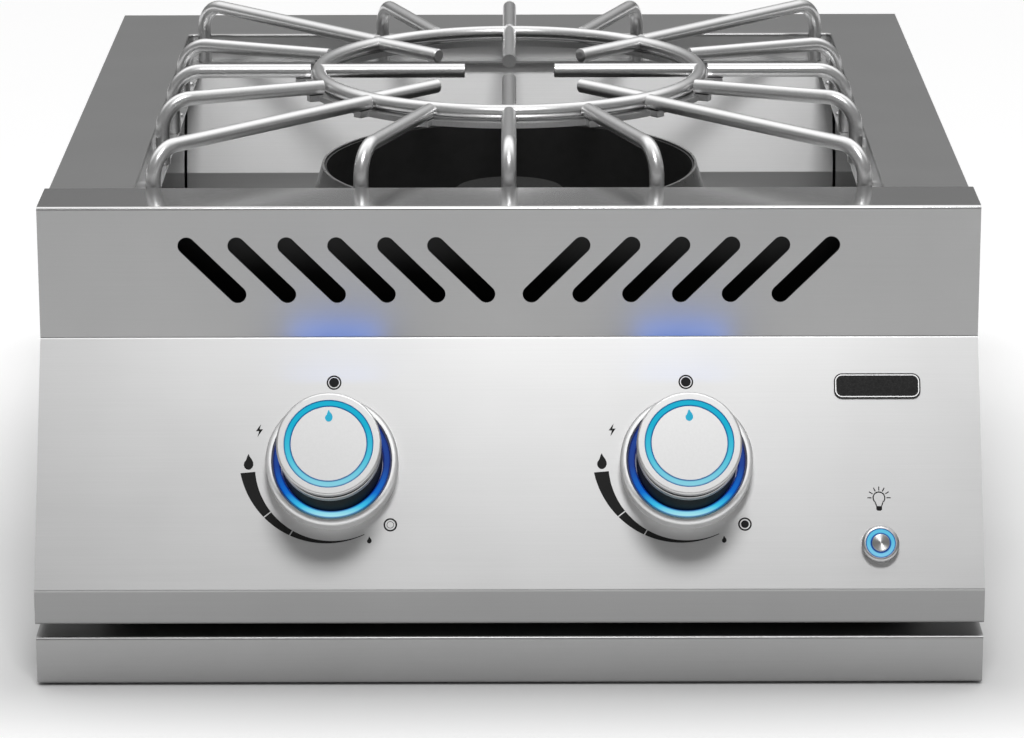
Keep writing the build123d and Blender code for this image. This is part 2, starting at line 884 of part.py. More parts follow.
for name, side in sides.items():
    knob_plane = on_panel(side * knob_spacing / 2, knob_down)

    with BuildPart() as bezel:
        lathe(
            knob_plane,
            [
                (bonnet_radius + 2 * bonnet_hole_gap, 0),
                (bezel_radius, 0),
                (bezel_radius, bezel_height),
                (light_outer + running_gap / 2, bezel_height),
                (light_outer + running_gap / 2, bezel_floor),
                (bonnet_radius + 2 * bonnet_hole_gap, bezel_floor),
            ],
        )
        fillet(top_rim(bezel, knob_plane, bezel_radius), bezel_round)
        chamfer(top_rim(bezel, knob_plane, light_outer + running_gap / 2), bezel_chamfer)
    keep(bezel, f"{name}_bezel")

    with BuildPart() as bezel_light:
        lathe(
            knob_plane,
            [
                (light_inner, bezel_floor),
                (light_outer, bezel_floor),
                (light_outer, light_height),
                (light_inner, light_height),
            ],
        )
    keep(bezel_light, f"{name}_bezel_light")

    with BuildPart() as knob_body:
        cavity_top = stem_top + knob_hub
        lathe(
            knob_plane,
            [
                (stem_radius + shaft_fit, knob_base),
                (knob_hub, knob_base),
                (knob_hub, cavity_top),
                (knob_radius - knob_wall, cavity_top),
                (knob_radius - knob_wall, knob_base),
                (knob_radius, knob_base),
                (knob_radius, face_under),
                (0, face_under),
                (0, stem_top + seat_gap),
                (stem_radius + shaft_fit, stem_top + seat_gap),
            ],
        )
    keep(knob_body, f"{name}_knob_body")

    with BuildPart() as knob_face:
        groove_floor = knob_face_height - knob_ring_depth
        lathe(
            knob_plane,
            [
                (0, face_under),
                (knob_face_radius, face_under),
                (knob_face_radius, knob_face_height),
                (knob_ring_outer + shaft_fit, knob_face_height),
                (knob_ring_outer + shaft_fit, groove_floor),
                (knob_ring_inner - shaft_fit, groove_floor),
                (knob_ring_inner - shaft_fit, knob_face_height),
                (0, knob_face_height),
            ],
        )
        fillet(top_rim(knob_face, knob_plane, knob_face_radius), knob_ring_depth)
    keep(knob_face, f"{name}_knob_face")

    with BuildPart() as knob_light:
        lathe(
            knob_plane,
            [
                (knob_ring_inner, groove_floor),
                (knob_ring_outer, groove_floor),
                (knob_ring_outer, knob_face_height - shaft_fit),
                (knob_ring_inner, knob_face_height - shaft_fit),
            ],
        )
    keep(knob_light, f"{name}_knob_light")

    with BuildPart() as valve_stem:
        lathe(
            knob_plane,
            [
                (0, stem_tail),
                (stem_tail_radius, stem_tail),
                (stem_tail_radius, stem_shoulder),
                (stem_radius, stem_shoulder),
                (stem_radius, stem_top),
                (0, stem_top),
            ],
        )
    keep(valve_stem, f"{name}_valve_stem")

    with BuildPart() as thrust_washer:
        lathe(
            knob_plane,
            [
                (stem_tail_radius + shaft_fit, washer_back),
                (washer_radius, washer_back),
                (washer_radius, stem_shoulder),
                (stem_tail_radius + shaft_fit, stem_shoulder),
            ],
        )
    keep(thrust_washer, f"{name}_thrust_washer")

    with BuildPart() as return_spring:
        coil_start = knob_plane.offset(-spring_seat + seat_gap + spring_wire / 2)
        with BuildLine(coil_start) as coil:
            Helix(spring_pitch, spring_pitch * spring_turns, spring_radius, direction=panel_normal)
        with BuildSketch(Plane(origin=coil.line @ 0, z_dir=coil.line % 0)):
            Circle(spring_wire / 2)
        sweep()
    keep(return_spring, f"{name}_return_spring")

    with BuildPart() as valve_body:
        with BuildSketch(knob_plane.offset(-sheet)):
            Rectangle(valve_flange_width, valve_height)
        extrude(amount=-valve_flange)
        with BuildSketch(knob_plane.offset(-sheet)):
            Rectangle(valve_width, valve_height)
        extrude(amount=sheet - valve_depth)
        with BuildSketch(knob_plane.offset(-sheet)):
            Circle(bonnet_radius)
        extrude(amount=sheet + bonnet_top)
        lathe(
            knob_plane,
            [
                (0, stem_tail - push_travel - running_gap),
                (stem_tail_radius + shaft_fit, stem_tail - push_travel - running_gap),
                (stem_tail_radius + shaft_fit, -spring_seat),
                (spring_chamber, -spring_seat),
                (spring_chamber, -washer_seat),
                (stem_radius + shaft_fit, -washer_seat),
                (stem_radius + shaft_fit, bonnet_top + sheet),
                (0, bonnet_top + sheet),
            ],
            mode=Mode.SUBTRACT,
        )
    keep(valve_body, f"{name}_valve_body")

coil_gap = spring_pitch - spring_wire
print(f"return spring: least gap between turns {coil_gap:.2f} mm")

# Light button: bezel with its barrel, lit ring, cap, nut and switch
button_plane = on_panel(button_x, button_down)

with BuildPart() as button_bezel:
    lathe(
        button_plane,
        [
            (button_light_outer + shaft_fit, -button_barrel),
            (button_barrel_radius, -button_barrel),
            (button_barrel_radius, 0),
            (button_flange_radius, 0),
            (button_flange_radius, button_flange),
            (button_light_outer + shaft_fit, button_flange),
        ],
    )
    fillet(top_rim(button_bezel, button_plane, button_flange_radius), button_flange_round)
keep(button_bezel, "button_bezel")

with BuildPart() as button_light:
    lathe(
        button_plane,
        [
            (button_cap_radius + running_gap, -button_light_depth),
            (button_light_outer, -button_light_depth),
            (button_light_outer, button_flange),
            (button_cap_radius + running_gap, button_flange),
        ],
    )
keep(button_light, "button_light")

with BuildPart() as button_cap:
    lathe(
        button_plane,
        [
            (0, -button_light_depth),
            (button_cap_radius, -button_light_depth),
            (button_cap_radius, button_cap_top),
            (0, button_cap_top),
        ],
    )
    fillet(top_rim(button_cap, button_plane, button_cap_radius), button_cap_round)
keep(button_cap, "button_cap")

with BuildPart() as button_nut:
    with BuildSketch(button_plane.offset(-sheet)):
        RegularPolygon(button_nut_width / 2, 6, major_radius=False)
        Circle(button_barrel_radius + button_hole_gap, mode=Mode.SUBTRACT)
    extrude(amount=-button_nut_height)
keep(button_nut, "button_nut")

with BuildPart() as button_switch:
    with BuildSketch(button_plane.offset(-button_barrel)):
        Circle(button_barrel_radius)
    extrude(amount=-sheet)
    with BuildSketch(button_plane.offset(-button_barrel - sheet)):
        Circle(switch_radius)
    extrude(amount=-switch_length)
    with BuildSketch(button_plane.offset(-button_barrel)):
        Circle(switch_radius)
    extrude(amount=button_barrel - button_light_depth - button_travel - running_gap)
keep(button_switch, "button_switch")

# Grate: bent rods on a support ring, and the lift-out ring with its fingers
leg_x = opening_width / 2 - leg_inset
leg_y = opening_depth / 2 - leg_inset
leg_foot = ledge_top + seat_gap
rod_end = ring_radius + rod_radius + rod_end_gap
support_top = rod_level - rod_radius - running_gap

corner_leg_x = opening_width / 2 - corner_leg_inset
corner_angle = degrees(atan2(leg_y, corner_leg_x))

quarter_legs = [
    (0.0, leg_x, 0.0),
    (22.5, leg_x, side_leg_offset),
    (corner_angle, corner_leg_x, leg_y),
    (67.5, side_leg_offset, leg_y),
    (90.0, 0.0, leg_y),
]
rod_ends_and_legs = set()
for angle, x, y in quarter_legs:
    end_x = round(rod_end * cos(radians(angle)), 6)
    end_y = round(rod_end * sin(radians(angle)), 6)
    for flip_x in (1, -1):
        for flip_y in (1, -1):
            rod_ends_and_legs.add((flip_x * end_x, flip_y * end_y, flip_x * x, flip_y * y))
rod_ends_and_legs = sorted(rod_ends_and_legs)

with BuildPart() as grate_support:
    with BuildSketch(Plane.XY.offset(support_top)):
        Circle(support_outer)
        Circle(support_inner, mode=Mode.SUBTRACT)
    extrude(amount=-support_thickness)
    for end_x, end_y, x, y in rod_ends_and_legs:
        tab_plane = Plane(
            origin=(end_x, end_y, support_top - support_thickness),
            x_dir=(end_x, end_y, 0),
            z_dir=(0, 0, 1),
        )
        with BuildSketch(tab_plane):
            span(0, tab_length, -tab_width / 2, tab_width / 2)
        extrude(amount=support_thickness + running_gap)
keep(grate_support, "grate_support")

with BuildPart() as grate_rods:
    for end_x, end_y, x, y in rod_ends_and_legs:
        with BuildLine() as rod:
            FilletPolyline(
                (end_x, end_y, rod_level),
                (x, y, rod_level),
                (x, y, leg_foot),
                radius=rod_bend,
            )
        with BuildSketch(Plane(origin=rod.line @ 0, z_dir=rod.line % 0)):
            Circle(rod_radius)
        sweep()
keep(grate_rods, "grate_rods")

with BuildPart() as grate_ring:
    with BuildSketch(Plane.XZ):
        with Locations((ring_radius, rod_level)):
            Circle(rod_radius)
    revolve(axis=Axis.Z)
    for k in range(8):
        reach = long_finger_end if k % 2 == 0 else short_finger_end
        finger_plane = Plane(
            origin=(ring_radius * cos(pi * k / 4), ring_radius * sin(pi * k / 4), rod_level),
            x_dir=(0, 0, 1),
            z_dir=(-cos(pi * k / 4), -sin(pi * k / 4), 0),
        )
        with BuildSketch(finger_plane):
            Circle(rod_radius)
        extrude(amount=ring_radius - reach)
        flat_ends = grate_ring.faces().filter_by(GeomType.PLANE)
        tip = flat_ends.sort_by(Axis(finger_plane.origin, finger_plane.z_dir))[-1]
        chamfer(tip.edges(), finger_edge)
keep(grate_ring, "grate_ring")

# Drip tray with its front band, and the runners that carry it
band_front = panel_front + band_setback

with BuildPart() as tray_front:
    band_section = [
        (band_front + band_hem, band_bottom),
        (band_front, band_bottom),
        (band_front, band_top),
        (band_front + band_flange, band_top),
    ]
    with BuildSketch(Plane.YZ.offset(-front_half)):
        folded(band_section, Side.RIGHT)
    extrude(amount=front_width)
    for cheek in (-front_half, cheek_inner):
        with BuildSketch(Plane.YZ.offset(cheek)):
            filled(
                [
                    (band_front + band_flange, band_bottom),
                    (band_front, band_bottom),
                    (band_front, band_top),
                    (band_front + band_flange, band_top),
                ]
            )
        extrude(amount=sheet)
keep(tray_front, "tray_front")

with BuildPart() as drip_tray:
    tray_front_face = band_front + sheet
    tray_middle = (tray_front_face + tray_back) / 2
    tray_length = tray_back - tray_front_face
    with BuildSketch(Plane.XY.offset(tray_floor)):
        with Locations((0, tray_middle)):
            RectangleRounded(2 * tray_half_width, tray_length, tray_corner)
    extrude(amount=tray_rim_height - tray_floor)
    with BuildSketch(Plane.XY.offset(tray_floor + sheet)):
        with Locations((0, tray_middle)):
            RectangleRounded(2 * (tray_half_width - sheet), tray_length - 2 * sheet, tray_corner - sheet)
    extrude(amount=tray_rim_height - tray_floor, mode=Mode.SUBTRACT)
    with BuildSketch(Plane.XY.offset(tray_rim_height)):
        for side in sides.values():
            span(
                side * tray_half_width,
                side * (tray_half_width + tray_rim),
                flange_back,
                tray_back - tray_corner,
            )
    extrude(amount=-sheet)
keep(drip_tray, "drip_tray")

with BuildPart() as tray_runners:
    runner_top = tray_rim_height - sheet - seat_gap
    runner_front = flange_back + runner_front_gap
    for side in sides.values():
        with BuildSketch(Plane.XY.offset(sheet)):
            span(side * (inner_half - sheet), side * inner_half, runner_front, runner_back)
        extrude(amount=runner_top - sheet)
        with BuildSketch(Plane.XY.offset(runner_top)):
            span(side * (inner_half - runner_leaf), side * inner_half, runner_front, runner_back)
        extrude(amount=-sheet)
keep(tray_runners, "tray_runners")

# Igniters, control box and power socket
with BuildPart() as igniter_ceramics:
    for x, y in igniter_places:
        lathe(
            Plane(origin=(x, y, bowl_floor), x_dir=(1, 0, 0), z_dir=(0, 0, 1)),
            [
                (0, -ceramic_below),
                (ceramic_radius, -ceramic_below),
                (ceramic_radius, 0),
                (ceramic_collar, 0),
                (ceramic_collar, ceramic_collar_height),
                (ceramic_radius, ceramic_collar_height),
                (ceramic_radius, ceramic_above),
                (0, ceramic_above),
            ],
        )
keep(igniter_ceramics, "igniter_ceramics")

with BuildPart() as igniter_electrodes:
    for (x, y), towards in zip(igniter_places, (-1, 1)):
        tip_x = x * (1 + towards * electrode_reach / (ceramic_place * sqrt(2)))
        tip_y = y * (1 + towards * electrode_reach / (ceramic_place * sqrt(2)))
        top = bowl_floor + ceramic_above
        with BuildLine() as wire:
            FilletPolyline(
                (x, y, top),
                (x, y, top + electrode_rise),
                (tip_x, tip_y, top + electrode_rise),
                radius=electrode_bend,
            )
        with BuildSketch(Plane(origin=wire.line @ 0, z_dir=wire.line % 0)):
            Circle(electrode_radius)
        sweep()
keep(igniter_electrodes, "igniter_electrodes")

with BuildPart() as control_module:
    with BuildSketch(Plane.XY.offset(module_bottom)):
        span(-inner_half, module_thickness - inner_half, -module_front, module_length - module_front)
    extrude(amount=module_height)
    fillet(control_module.faces().sort_by(Axis.X)[-1].edges(), module_round)
keep(control_module, "control_module")

socket_plane = Plane(origin=(-socket_x, casing_back, socket_height), x_dir=(-1, 0, 0), z_dir=(0, 1, 0))

with BuildPart() as power_inlet:
    lathe(
        socket_plane,
        [
            (0, -socket_inside),
            (socket_radius, -socket_inside),
            (socket_radius, 0),
            (socket_flange_radius, 0),
            (socket_flange_radius, socket_flange),
            (socket_radius, socket_flange),
            (socket_radius, socket_length),
            (socket_bore, socket_length),
            (socket_bore, -socket_length),
            (0, -socket_length),
        ],
    )
keep(power_inlet, "power_inlet")

# Screws on the ledge and on the back
with BuildPart() as ledge_screws:
    for place in ledge_screw_rows.locations:
        screw(Plane(origin=(place.position.X, place.position.Y, ledge_top), x_dir=(1, 0, 0), z_dir=(0, 0, 1)))
keep(ledge_screws, "ledge_screws")

with BuildPart() as back_panel_screws:
    for side in sides.values():
        for height in back_screw_heights:
            screw(Plane(origin=(side * back_screw_x, casing_back, height), x_dir=(-1, 0, 0), z_dir=(0, 1, 0)))
keep(back_panel_screws, "back_panel_screws")
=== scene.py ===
"""Looks of the drop-in burner: steel, enamel, lit rings, printed marks, studio and camera.

Metres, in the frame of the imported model: +X right, +Y back, +Z up, origin on the floor below the burner.
"""
import json
from math import cos, degrees, pi, radians, sin

import bmesh
import bpy
from mathutils import Matrix, Vector


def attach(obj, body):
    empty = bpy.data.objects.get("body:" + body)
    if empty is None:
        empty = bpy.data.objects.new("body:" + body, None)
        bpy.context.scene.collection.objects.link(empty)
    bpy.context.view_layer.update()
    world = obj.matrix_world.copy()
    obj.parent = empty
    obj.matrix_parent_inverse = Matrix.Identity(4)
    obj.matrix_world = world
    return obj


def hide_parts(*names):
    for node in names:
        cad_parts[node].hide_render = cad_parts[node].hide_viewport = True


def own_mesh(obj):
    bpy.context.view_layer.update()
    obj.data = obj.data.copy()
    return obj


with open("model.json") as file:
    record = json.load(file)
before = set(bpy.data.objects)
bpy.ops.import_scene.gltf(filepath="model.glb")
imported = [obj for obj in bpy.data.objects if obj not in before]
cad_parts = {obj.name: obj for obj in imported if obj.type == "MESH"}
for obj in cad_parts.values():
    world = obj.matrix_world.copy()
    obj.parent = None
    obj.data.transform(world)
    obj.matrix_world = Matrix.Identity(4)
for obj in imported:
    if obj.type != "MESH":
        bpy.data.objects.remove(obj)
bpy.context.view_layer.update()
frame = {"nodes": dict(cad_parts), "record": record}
scene = bpy.context.scene
scene.view_settings.view_transform = "Standard"

MM = 0.001

# Control panel plane and what sits on it, in millimetres across, down the slope and out
PANEL_TILT = radians(30)
PANEL_EDGE = (0.0, -231.5, 158.0)
KNOB_ACROSS = 85.5
KNOB_DOWN = 64.2
KNOB_FACE_OUT = 46.0
BARREL_RADIUS = 24.2
BUTTON_ACROSS = 178.5
BUTTON_DOWN = 104.25
BADGE_ACROSS = 178.8
BADGE_DOWN = 25.4
BADGE_OUT = 0.8
BULB_DOWN = 82.3
PRINT_THICKNESS = 0.06
PRINT_SINK = 0.02

# Inner and outer radius of each lit ring
FACE_RING = (18.0, 21.25)
BEZEL_RING = (24.9, 28.15)
BUTTON_RING = (4.6, 7.15)

# Bright band round each knob barrel, out from the panel
SLEEVE_LOW = 31.0
SLEEVE_HIGH = 36.0
SLEEVE_WALL = 0.35
SLEEVE_EASE = 0.28
SLEEVE_STEPS = 96
SLEEVE_CREASE = radians(30)

# Height above which the front strip is the polished bar, with the bar's share of roughness and the factor of
# painted light that brightens its colour
BAR_UNDERSIDE = 0.2215
BAR_ROUGHNESS = 0.45
BAR_PAINTED_LIGHT = 1.7

# Height below which a piece's colour is multiplied, and the factor: painted shade on the panel's upright lip
# and the foot of the back wall, painted light in the recess in the deck
# Painted shade: the lip is darkened to stand for the shaded floor it reflects
LIP = (0.0490, 0.55)
# Painted light: the recess walls and ledge of the deck are brightened to stand for the bright light they
# reflect
RECESS = (0.2205, 1.9)
# Painted shade: the foot of the back wall is darkened to stand for the dark inside of the box it reflects
WALL_FOOT = (0.1455, 0.65)

# Front face of the sheet behind the slots
SHIELD_FRONT = -0.1865

# Camera fitted to the photograph
CAMERA_PLACE = (0.0039, -2.2745, 0.7258)
CAMERA_PITCH = radians(15.963)
CAMERA_YAW = radians(-0.070)
CAMERA_ROLL = radians(-0.135)
CAMERA_LENS = 152.93
SENSOR_WIDTH = 36.0
CLIP_START = 0.05


# Placing on the control panel

panel_turn = Matrix.Rotation(radians(90) - PANEL_TILT, 4, "X")
panel_axes = Matrix.Translation(PANEL_EDGE) @ panel_turn


def on_panel(across, down, out):
    """Placing of a flat shape on the panel, from millimetres to metres."""
    return Matrix.Scale(MM, 4) @ panel_axes @ Matrix.Translation((across, -down, out))


# Materials

def shader(name):
    """New material with its node tree and its principled shader."""
    material = bpy.data.materials.new(name)
    material.use_nodes = True
    tree = material.node_tree
    return material, tree, tree.nodes["Principled BSDF"]


def node(tree, kind, **sockets):
    """New node with some of its sockets set."""
    made = tree.nodes.new(kind)
    for name, value in sockets.items():
        made.inputs[name.replace("_", " ")].default_value = value
    return made


def grain(tree, stretch, detail=4.0, roughness=0.6):
    """Noise stretched over the piece's own coordinates."""
    coords = tree.nodes.new("ShaderNodeTexCoord")
    mapping = node(tree, "ShaderNodeMapping", Scale=stretch)
    noise = node(tree, "ShaderNodeTexNoise", Scale=1.0, Detail=detail, Roughness=roughness)
    tree.links.new(coords.outputs["Object"], mapping.inputs["Vector"])
    tree.links.new(mapping.outputs["Vector"], noise.inputs["Vector"])
    return noise.outputs["Fac"]


def spread(tree, value, low, high, start=0.3, end=0.7):
    """A value between a start and an end spread between two limits."""
    ranged = node(tree, "ShaderNodeMapRange", From_Min=start, From_Max=end, To_Min=low, To_Max=high)
    tree.links.new(value, ranged.inputs["Value"])
    return ranged.outputs["Result"]


def tint(tree, value, stops):
    """A colour by a value, from stops of position and colour."""
    ramp = tree.nodes.new("ShaderNodeValToRGB")
    band = ramp.color_ramp
    while len(band.elements) < len(stops):
        band.elements.new(1.0)
    for element, (position, colour) in zip(band.elements, stops):
        element.position = position
        element.color = (*colour, 1.0)
    tree.links.new(value, ramp.inputs["Fac"])
    return ramp.outputs["Color"]


def blend(tree, first, second, kind, share=1.0):
    """Two colours put together; share may be a number or an output."""
    mix = tree.nodes.new("ShaderNodeMix")
    mix.data_type = "RGBA"
    mix.blend_type = kind
    if isinstance(share, float):
        mix.inputs["Factor"].default_value = share
    else:
        tree.links.new(share, mix.inputs["Factor"])
    tree.links.new(first, mix.inputs["A"])
    tree.links.new(second, mix.inputs["B"])
    return mix.outputs["Result"]


def join(tree, kind, first, second):
    """A math node on two outputs, or on an output and a number."""
    made = tree.nodes.new("ShaderNodeMath")
    made.operation = kind
    tree.links.new(first, made.inputs[0])
    if isinstance(second, float):
        made.inputs[1].default_value = second
    else:
        tree.links.new(second, made.inputs[1])
    return made.outputs["Value"]


def raise_bump(tree, bsdf, value, strength, height):
    """Bump from a value, of a height in metres."""
    bump = node(tree, "ShaderNodeBump", Strength=strength, Distance=height)
    tree.links.new(value, bump.inputs["Height"])
    tree.links.new(bump.outputs["Normal"], bsdf.inputs["Normal"])


def grey(value, warmth=0.0):
    """Grey with a touch of warmth."""
    return (value * (1 + warmth), value, value * (1 - warmth))


def between(dark, light):
    """Ramp stops over the middle of a noise."""
    return [(0.3, dark), (0.7, light)]


CLOUDS = (14.0, 14.0, 14.0)


def sheet_steel(name, tone, rough, stretch, polished_with_painted_light_above=None, painted_light_and_shade_below=None):
    """Brushed stainless sheet: fine lines, a faint cloudiness and a satin gloss."""
    material, tree, bsdf = shader(name)
    lines = grain(tree, stretch, detail=3.0)
    clouds = grain(tree, CLOUDS, detail=2.0)
    streaks = tint(tree, lines, between(grey(tone * 0.98), grey(tone * 1.02)))
    haze = tint(tree, clouds, between(grey(0.95), grey(1.0)))
    colour = blend(tree, streaks, haze, "MULTIPLY")
    gloss = spread(tree, lines, rough[0], rough[1])
    coords = tree.nodes.new("ShaderNodeTexCoord")
    parts = tree.nodes.new("ShaderNodeSeparateXYZ")
    tree.links.new(coords.outputs["Object"], parts.inputs["Vector"])
    # Above a height the gloss rises and the colour is brightened: the gloss is the bar's polish, the brighter
    # colour is painted light
    if polished_with_painted_light_above is not None:
        rise = spread(tree, parts.outputs["Z"], 0.0, 1.0, polished_with_painted_light_above, polished_with_painted_light_above + MM)
        gloss = join(tree, "MULTIPLY", gloss, spread(tree, rise, 1.0, BAR_ROUGHNESS, 0.0, 1.0))
        painted_light_tint = tint(tree, rise, [(0.0, grey(1.0)), (1.0, grey(BAR_PAINTED_LIGHT))])
        colour = blend(tree, colour, painted_light_tint, "MULTIPLY")
    # Below a height the colour is multiplied by a factor: painted shade where the factor is under one,
    # painted light where it is over one
    if painted_light_and_shade_below is not None:
        level, shade = painted_light_and_shade_below
        rise = spread(tree, parts.outputs["Z"], 0.0, 1.0, level - MM, level)
        colour = blend(tree, colour, tint(tree, rise, [(0.0, grey(shade)), (1.0, grey(1.0))]), "MULTIPLY")
    tree.links.new(colour, bsdf.inputs["Base Color"])
    tree.links.new(gloss, bsdf.inputs["Roughness"])
    raise_bump(tree, bsdf, lines, 0.03, 0.00001)
    bsdf.inputs["Metallic"].default_value = 1.0
    return material


def shield_steel(name, tone, rough, front):
    """Sheet painted near black on the valve side, a painted shade for the dark inside seen through the slots,
    and bright on the burner side.
    """
    material, tree, bsdf = shader(name)
    clouds = grain(tree, CLOUDS, detail=2.0)
    coords = tree.nodes.new("ShaderNodeTexCoord")
    parts = tree.nodes.new("ShaderNodeSeparateXYZ")
    tree.links.new(coords.outputs["Object"], parts.inputs["Vector"])
    side = spread(tree, parts.outputs["Y"], 0.0, 1.0, front, front + MM)
    # Painted shade: near black on the front face behind the slots
    black = tint(tree, clouds, between(grey(0.05), grey(0.07)))
    bright = tint(tree, clouds, between(grey(tone * 0.95), grey(tone)))
    tree.links.new(blend(tree, black, bright, "MIX", side), bsdf.inputs["Base Color"])
    tree.links.new(spread(tree, clouds, rough[0], rough[1]), bsdf.inputs["Roughness"])
    bsdf.inputs["Metallic"].default_value = 1.0
    return material


def plain_finish(name, dark, light, rough, stretch, bump=0.05, height=0.00002, metallic=1.0, specular=0.5):
    """Finish whose colour, gloss and bump follow one grain."""
    material, tree, bsdf = shader(name)
    fine = grain(tree, stretch)
    tree.links.new(tint(tree, fine, between(dark, light)), bsdf.inputs["Base Color"])
    tree.links.new(spread(tree, fine, rough[0], rough[1]), bsdf.inputs["Roughness"])
    raise_bump(tree, bsdf, fine, bump, height)
    bsdf.inputs["Metallic"].default_value = metallic
    bsdf.inputs["Specular IOR Level"].default_value = specular
    return material


ACROSS = (14.0, 1900.0, 1900.0)
ALONG = (1900.0, 14.0, 1900.0)
EVEN = (160.0, 160.0, 160.0)
FINE = (900.0, 900.0, 900.0)
SPANGLE = (60.0, 60.0, 60.0)
CASTING = (420.0, 420.0, 420.0)

panel_steel = sheet_steel("brushed_panel_steel", 0.61, (0.40, 0.44), ACROSS, painted_light_and_shade_below=LIP)
fascia_steel = sheet_steel("brushed_front_steel", 0.40, (0.36, 0.40), ACROSS, polished_with_painted_light_above=BAR_UNDERSIDE)
deck_steel = sheet_steel("brushed_deck_steel", 0.43, (0.31, 0.35), ACROSS, painted_light_and_shade_below=RECESS)
side_steel = sheet_steel("brushed_side_steel", 0.45, (0.32, 0.40), ALONG)
wall_steel = sheet_steel("bright_box_steel", 0.80, (0.42, 0.46), ACROSS, painted_light_and_shade_below=WALL_FOOT)
cone_steel = plain_finish("satin_cone_steel", grey(0.48), grey(0.54), (0.26, 0.34), EVEN)
rod_steel = plain_finish("polished_rod_steel", grey(0.72), grey(0.78), (0.28, 0.34), FINE)
bezel_steel = plain_finish("satin_bezel_steel", grey(0.86), grey(0.90), (0.50, 0.54), FINE)
button_steel = plain_finish("satin_button_steel", grey(0.52), grey(0.56), (0.30, 0.36), FINE)
face_steel = plain_finish("satin_knob_face", grey(0.62), grey(0.65), (0.40, 0.44), FINE)
zinc_steel = plain_finish("zinc_plated_steel", grey(0.40), grey(0.50), (0.36, 0.50), SPANGLE)
spring_steel = plain_finish("spring_steel", grey(0.36), grey(0.46), (0.26, 0.36), FINE)
brass = plain_finish("machined_brass", (0.55, 0.38, 0.14), (0.66, 0.48, 0.20), (0.24, 0.36), FINE)
pale_pipe = plain_finish("drawn_aluminium", grey(0.58), grey(0.68), (0.30, 0.42), ALONG)
cast_iron = plain_finish("cast_burner_iron", grey(0.010), grey(0.02), (0.60, 0.75), CASTING, bump=0.5,
                         height=0.0002, metallic=0.0, specular=0.2)
enamel = plain_finish("black_bowl_enamel", grey(0.045), grey(0.055), (0.42, 0.52), EVEN, bump=0.1,
                      height=0.0001, metallic=0.0)
knob_black = plain_finish("black_knob_plastic", grey(0.006), grey(0.010), (0.55, 0.65), FINE, metallic=0.0,
                          specular=0.05)
badge_black = plain_finish("black_badge_paint", grey(0.006), grey(0.010), (0.22, 0.30), FINE, metallic=0.0,
                           specular=0.3)
grey_plastic = plain_finish("grey_box_plastic", grey(0.05), grey(0.08), (0.45, 0.60), FINE, bump=0.3,
                            height=0.0001, metallic=0.0)
ceramic = plain_finish("glazed_ceramic", grey(0.74, 0.02), grey(0.84, 0.02), (0.15, 0.25), FINE, metallic=0.0)
print_black = plain_finish("printed_black_ink", grey(0.006), grey(0.010), (0.45, 0.60), FINE, metallic=0.0,
                           specular=0.2)


def panel_coordinates(tree, across, down):
    """Object coordinates turned to lie across, up the slope and out from one place on the panel."""
    place = on_panel(across, down, 0.0)
    turned = panel_turn.inverted()
    coords = tree.nodes.new("ShaderNodeTexCoord")
    mapping = tree.nodes.new("ShaderNodeMapping")
    mapping.inputs["Rotation"].default_value = turned.to_euler()
    mapping.inputs["Location"].default_value = -(turned @ place.translation)
    tree.links.new(coords.outputs["Object"], mapping.inputs["Vector"])
    return mapping.outputs["Vector"]


def away_from_axis(tree, vector):
    """The part of a vector that lies in the plane of the panel."""
    flat = tree.nodes.new("ShaderNodeVectorMath")
    flat.operation = "MULTIPLY"
    flat.inputs[1].default_value = (1.0, 1.0, 0.0)
    tree.links.new(vector, flat.inputs[0])
    return flat.outputs["Vector"]


def from_axis(tree, vector):
    """Distance from the axis that stands out of the panel."""
    length = tree.nodes.new("ShaderNodeVectorMath")
    length.operation = "LENGTH"
    tree.links.new(away_from_axis(tree, vector), length.inputs[0])
    return length.outputs["Value"]


def lit_ring(name, across, down, radii, stops, edge):
    """Lit plastic ring: colours run from its lowest point up the slope, with thin dark edges."""
    inner, outer = radii
    material, tree, bsdf = shader(name)
    vector = panel_coordinates(tree, across, down)
    parts = tree.nodes.new("ShaderNodeSeparateXYZ")
    tree.links.new(vector, parts.inputs["Vector"])
    rise = spread(tree, parts.outputs["Y"], 0.0, 1.0, -outer * MM, outer * MM)
    glow = tint(tree, rise, stops)
    reach = spread(tree, from_axis(tree, vector), 0.0, 1.0, inner * MM, outer * MM)
    white = grey(1.0)
    rim = tint(tree, reach, [(0.05, edge), (0.26, white), (0.76, white), (0.97, edge)])
    tree.links.new(blend(tree, glow, rim, "MULTIPLY"), bsdf.inputs["Emission Color"])
    bsdf.inputs["Emission Strength"].default_value = 1.0
    bsdf.inputs["Base Color"].default_value = (0.004, 0.006, 0.010, 1.0)
    bsdf.inputs["Roughness"].default_value = 0.4
    bsdf.inputs["Specular IOR Level"].default_value = 0.1
    return material


def turned_metal(name, across, down, tone, pitch):
    """Metal turned on a lathe: fine rings about its own axis that draw the gloss out from the middle."""
    material, tree, bsdf = shader(name)
    vector = panel_coordinates(tree, across, down)
    reach = from_axis(tree, vector)
    rings = join(tree, "SINE", join(tree, "MULTIPLY", reach, 2 * pi / (pitch * MM)), 0.0)
    tree.links.new(tint(tree, rings, [(0.0, grey(tone * 0.9)), (1.0, grey(tone))]), bsdf.inputs["Base Color"])
    outward = tree.nodes.new("ShaderNodeVectorRotate")
    outward.rotation_type = "EULER_XYZ"
    outward.inputs["Rotation"].default_value = panel_turn.to_euler()
    tree.links.new(away_from_axis(tree, vector), outward.inputs["Vector"])
    tree.links.new(outward.outputs["Vector"], bsdf.inputs["Tangent"])
    bsdf.inputs["Anisotropic"].default_value = 0.9
    bsdf.inputs["Metallic"].default_value = 1.0
    bsdf.inputs["Roughness"].default_value = 0.32
    return material


